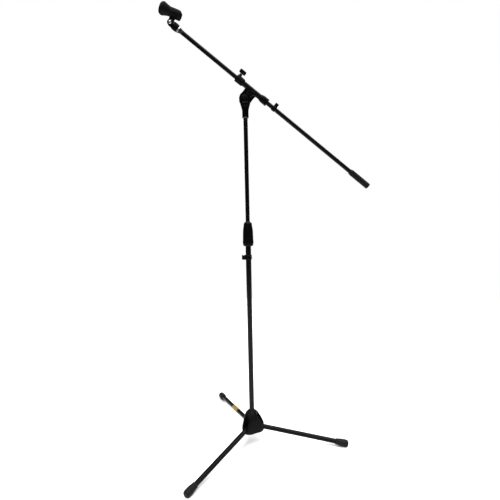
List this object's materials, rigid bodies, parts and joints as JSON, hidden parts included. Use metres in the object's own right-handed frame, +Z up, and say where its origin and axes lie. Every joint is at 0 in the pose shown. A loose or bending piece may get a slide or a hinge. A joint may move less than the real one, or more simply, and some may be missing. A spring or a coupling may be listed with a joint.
{
  "type": "boom microphone stand",
  "caption": "Black boom microphone stand: folding tripod hub, telescoping mast with twist clutch, tilting sliding boom with T-handle, and a swivelling microphone clip.",
  "frame": {"origin": "middle of the footprint box, on the floor that the feet rest on", "axes": "+Z up along the mast; the boom lies in the X-Z plane with its microphone end towards -X and its rear grip towards +X; the tilt knob is on the +Y side"},
  "size_m": [0.7264, 0.6618, 1.6366],
  "materials": {
    "black_paint": "satin black powder coat",
    "black_plastic": "fine moulded grain, satin",
    "clip_plastic": "soft matte charcoal",
    "black_rubber": "matte moulded rubber",
    "zinc": "bright zinc plate",
    "grey_ring": "dull grey plate",
    "black_steel": "black zinc, slightly glossy",
    "brass": "turned brass",
    "gold_band": "satin gold foil",
    "nylon": "natural nylon"
  },
  "bodies": {
    "base": {"hub_housing": "black_plastic", "hub_base_plate": "black_plastic", "hub_screw": "black_steel", "leg_pin_right": "zinc", "leg_pin_left": "zinc", "leg_pin_rear": "zinc", "lower_tube": "black_paint", "lower_tube_plug": "zinc", "clutch_bushing": "nylon"},
    "leg_right": {"leg_tube_right": "black_paint", "leg_knuckle_right": "black_plastic", "leg_foot_right": "black_rubber"},
    "leg_left": {"leg_tube_left": "black_paint", "leg_knuckle_left": "black_plastic", "leg_foot_left": "black_rubber"},
    "leg_rear": {"leg_tube_rear": "black_paint", "leg_knuckle_rear": "black_plastic", "leg_foot_rear": "black_rubber", "leg_band_rear": "gold_band"},
    "clutch": {"clutch_grip": "black_plastic", "clutch_top_ring": "grey_ring"},
    "mast_clip": {"mast_cable_clip": "black_plastic"},
    "collet": {"clutch_collet": "nylon"},
    "mast": {"upper_tube": "black_paint", "upper_tube_guide": "nylon", "mast_stud": "black_steel", "head_lock_ring": "grey_ring", "head_socket": "black_plastic", "tilt_washer": "nylon", "pivot_bolt": "zinc"},
    "knob": {"tilt_knob": "black_plastic", "tilt_knob_nut": "brass"},
    "head": {"head_bracket": "black_plastic", "boom_sleeve": "black_paint", "front_collar": "black_plastic", "t_bar_nut": "zinc"},
    "t_bar": {"t_bar_screw": "black_steel", "t_bar_handle": "black_plastic"},
    "collar": {"rear_collar": "black_plastic"},
    "liner": {"boom_liner": "nylon"},
    "boom": {"boom_tube": "black_paint", "boom_tip": "black_steel", "boom_grip": "black_rubber"},
    "nut": {"lock_nut": "zinc"},
    "boom_clip": {"boom_cable_clip": "black_plastic"},
    "mount": {"clip_socket": "black_plastic", "clip_insert": "brass", "clip_screw": "zinc", "clip_nut": "zinc"},
    "clip": {"clip_body": "clip_plastic"}
  },
  "joints": [
    {"name": "leg_right_fold", "type": "hinge", "parent": "base", "child": "leg_right", "pos_m": [-0.04706, -0.02686, 0.0709], "axis": [-0.1253, -0.9921, 0], "range_deg": [0, 99]},
    {"name": "leg_left_fold", "type": "hinge", "parent": "base", "child": "leg_left", "pos_m": [-0.09975, -0.04901, 0.0709], "axis": [-0.7965, 0.6046, 0], "range_deg": [0, 99]},
    {"name": "leg_rear_fold", "type": "hinge", "parent": "base", "child": "leg_rear", "pos_m": [-0.09259, 0.0077, 0.0709], "axis": [0.9219, 0.3875, 0], "range_deg": [0, 99]},
    {"name": "clutch_twist", "type": "hinge", "parent": "base", "child": "clutch", "pos_m": [-0.0798, -0.02272, 0.846], "axis": [0, 0, 1], "range_deg": [0, 300]},
    {"name": "mast_clip_slide", "type": "slide", "parent": "base", "child": "mast_clip", "axis": [0, 0, 1], "range_m": [-0.25, 0.03]},
    {"name": "mast_turn", "type": "hinge", "parent": "base", "child": "collet", "pos_m": [-0.0798, -0.02272, 0.856], "axis": [0, 0, 1], "continuous": true},
    {"name": "mast_slide", "type": "slide", "parent": "collet", "child": "mast", "axis": [0, 0, 1], "range_m": [-0.355, 0.21]},
    {"name": "head_tilt", "type": "hinge", "parent": "mast", "child": "head", "pos_m": [-0.0798, -0.02272, 1.32], "axis": [0, 1, 0], "range_deg": [-129, 50]},
    {"name": "tilt_knob_turn", "type": "hinge", "parent": "mast", "child": "knob", "pos_m": [-0.0798, -0.00072, 1.32], "axis": [0, 1, 0], "range_deg": [0, 300]},
    {"name": "t_bar_turn", "type": "hinge", "parent": "head", "child": "t_bar", "pos_m": [-0.09012, -0.02272, 1.4046], "axis": [0.6338, 0, 0.7735], "range_deg": [0, 300]},
    {"name": "rear_collar_twist", "type": "hinge", "parent": "head", "child": "collar", "pos_m": [-0.01415, -0.02272, 1.3165], "axis": [0.7735, 0, -0.6338], "range_deg": [0, 270]},
    {"name": "boom_turn", "type": "hinge", "parent": "head", "child": "liner", "pos_m": [-0.05514, -0.02272, 1.35009], "axis": [0.7735, 0, -0.6338], "continuous": true},
    {"name": "boom_slide", "type": "slide", "parent": "liner", "child": "boom", "axis": [0.7735, 0, -0.6338], "range_m": [-0.021, 0.225]},
    {"name": "lock_nut_turn", "type": "hinge", "parent": "boom", "child": "nut", "pos_m": [-0.29802, -0.02272, 1.5491], "axis": [0.7735, 0, -0.6338], "continuous": true},
    {"name": "boom_clip_slide", "type": "slide", "parent": "boom", "child": "boom_clip", "axis": [0.7735, 0, -0.6338], "range_m": [0, 0.33]},
    {"name": "clip_turn", "type": "hinge", "parent": "boom", "child": "mount", "pos_m": [-0.31342, -0.02272, 1.56171], "axis": [-0.7735, 0, 0.6338], "continuous": true},
    {"name": "clip_tilt", "type": "hinge", "parent": "mount", "child": "clip", "pos_m": [-0.32502, -0.02272, 1.57122], "axis": [0, -1, 0], "range_deg": [-20, 100]}
  ]
}
